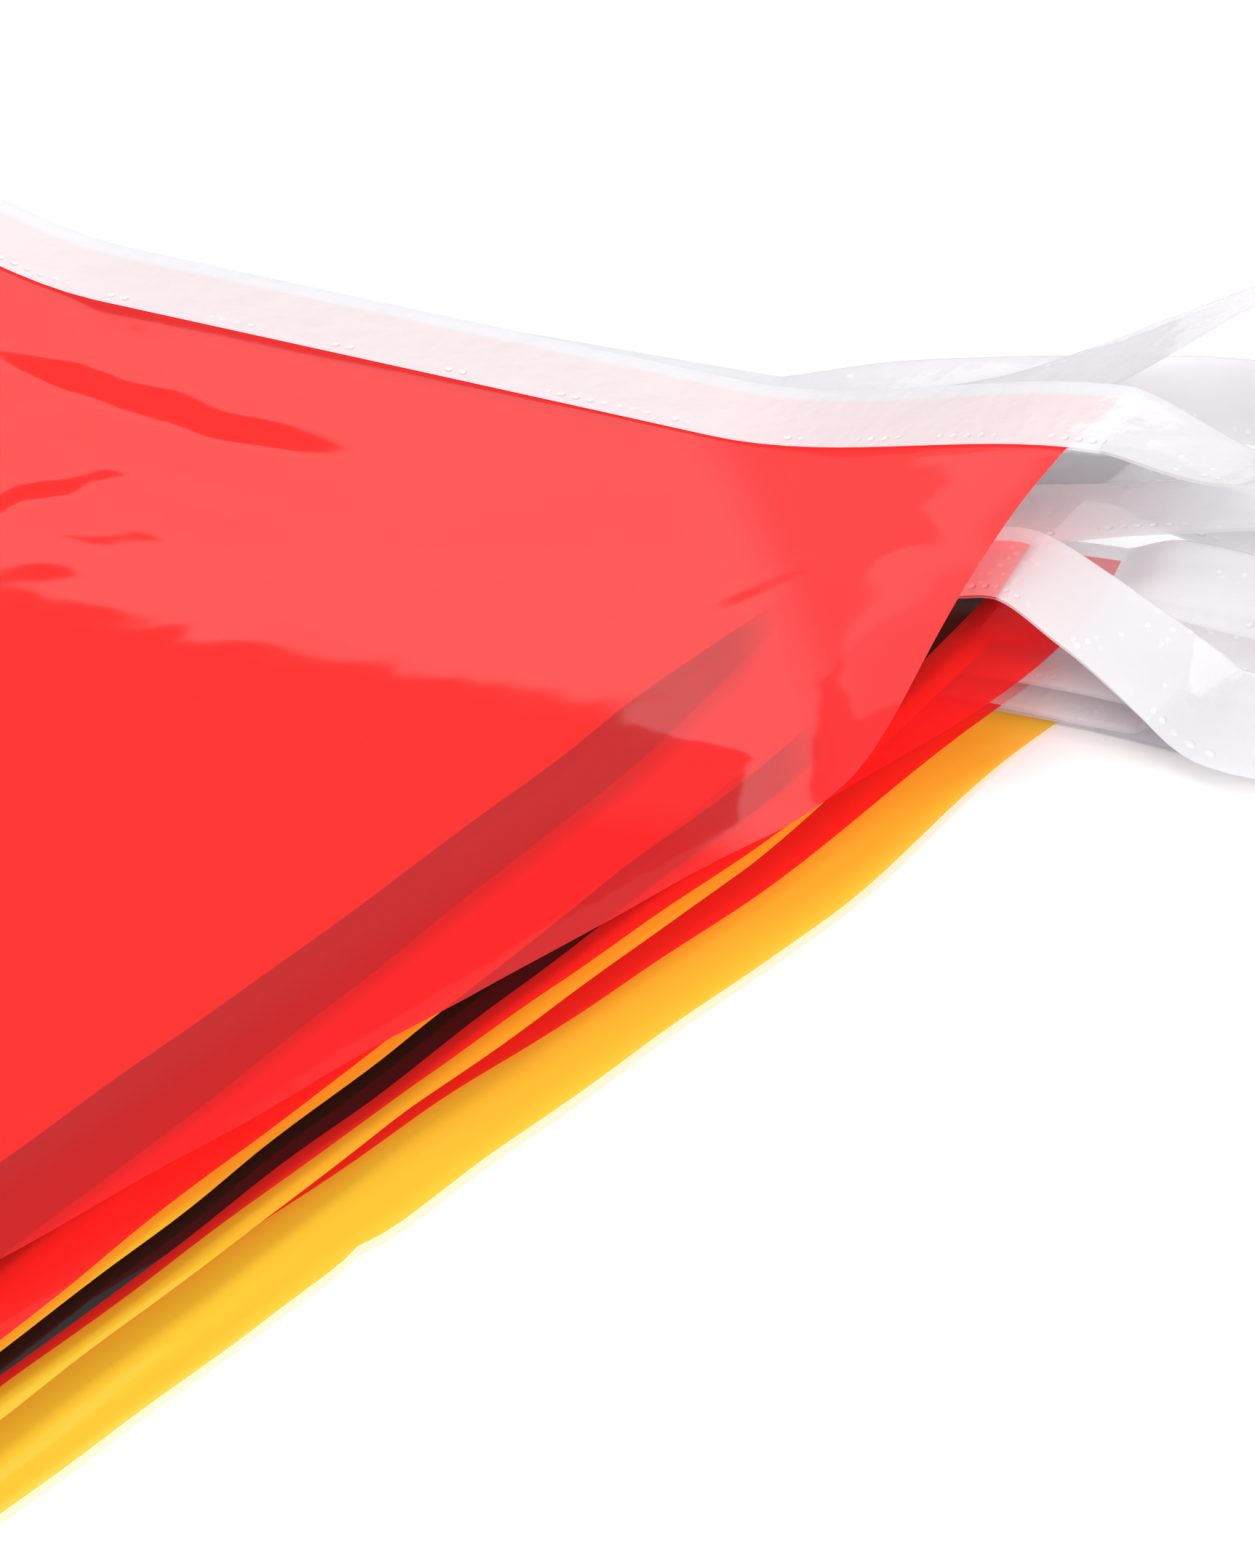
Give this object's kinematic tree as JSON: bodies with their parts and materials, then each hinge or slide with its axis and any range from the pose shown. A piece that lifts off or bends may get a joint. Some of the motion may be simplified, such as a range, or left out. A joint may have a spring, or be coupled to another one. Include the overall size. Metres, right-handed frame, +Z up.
{
  "type": "folded pennant bunting",
  "caption": "Glossy film pennants in red, yellow and black on one white tape, folded back and forth into a flat pile with looped slack tape.",
  "frame": {"origin": "on the floor under the pile, on the flat underside of the bottom pennant", "axes": "+X along the pennants' headings to the end whose loops show in the picture, +Y from the tips to the headings, +Z up from the floor"},
  "size_m": [0.3453, 0.346, 0.0621],
  "materials": {
    "red_film": "thin glossy polyethylene film, slightly see-through, softly crinkled",
    "yellow_film": "thin glossy polyethylene film, slightly see-through",
    "black_film": "thin glossy polyethylene film, opaque",
    "white_tape": "thin white polyethylene film folded double, milky and slightly see-through, with a dotted weld"
  },
  "bodies": {
    "root": {"pennant_01_red": "red_film", "pennant_02_yellow": "yellow_film", "pennant_03_black": "black_film", "pennant_04_red": "red_film", "pennant_05_yellow": "yellow_film", "pennant_06_black": "black_film", "pennant_07_red": "red_film", "pennant_08_yellow": "yellow_film", "pennant_09_black": "black_film", "pennant_10_red": "red_film", "pennant_11_yellow": "yellow_film", "header_tape": "white_tape"}
  },
  "joints": []
}
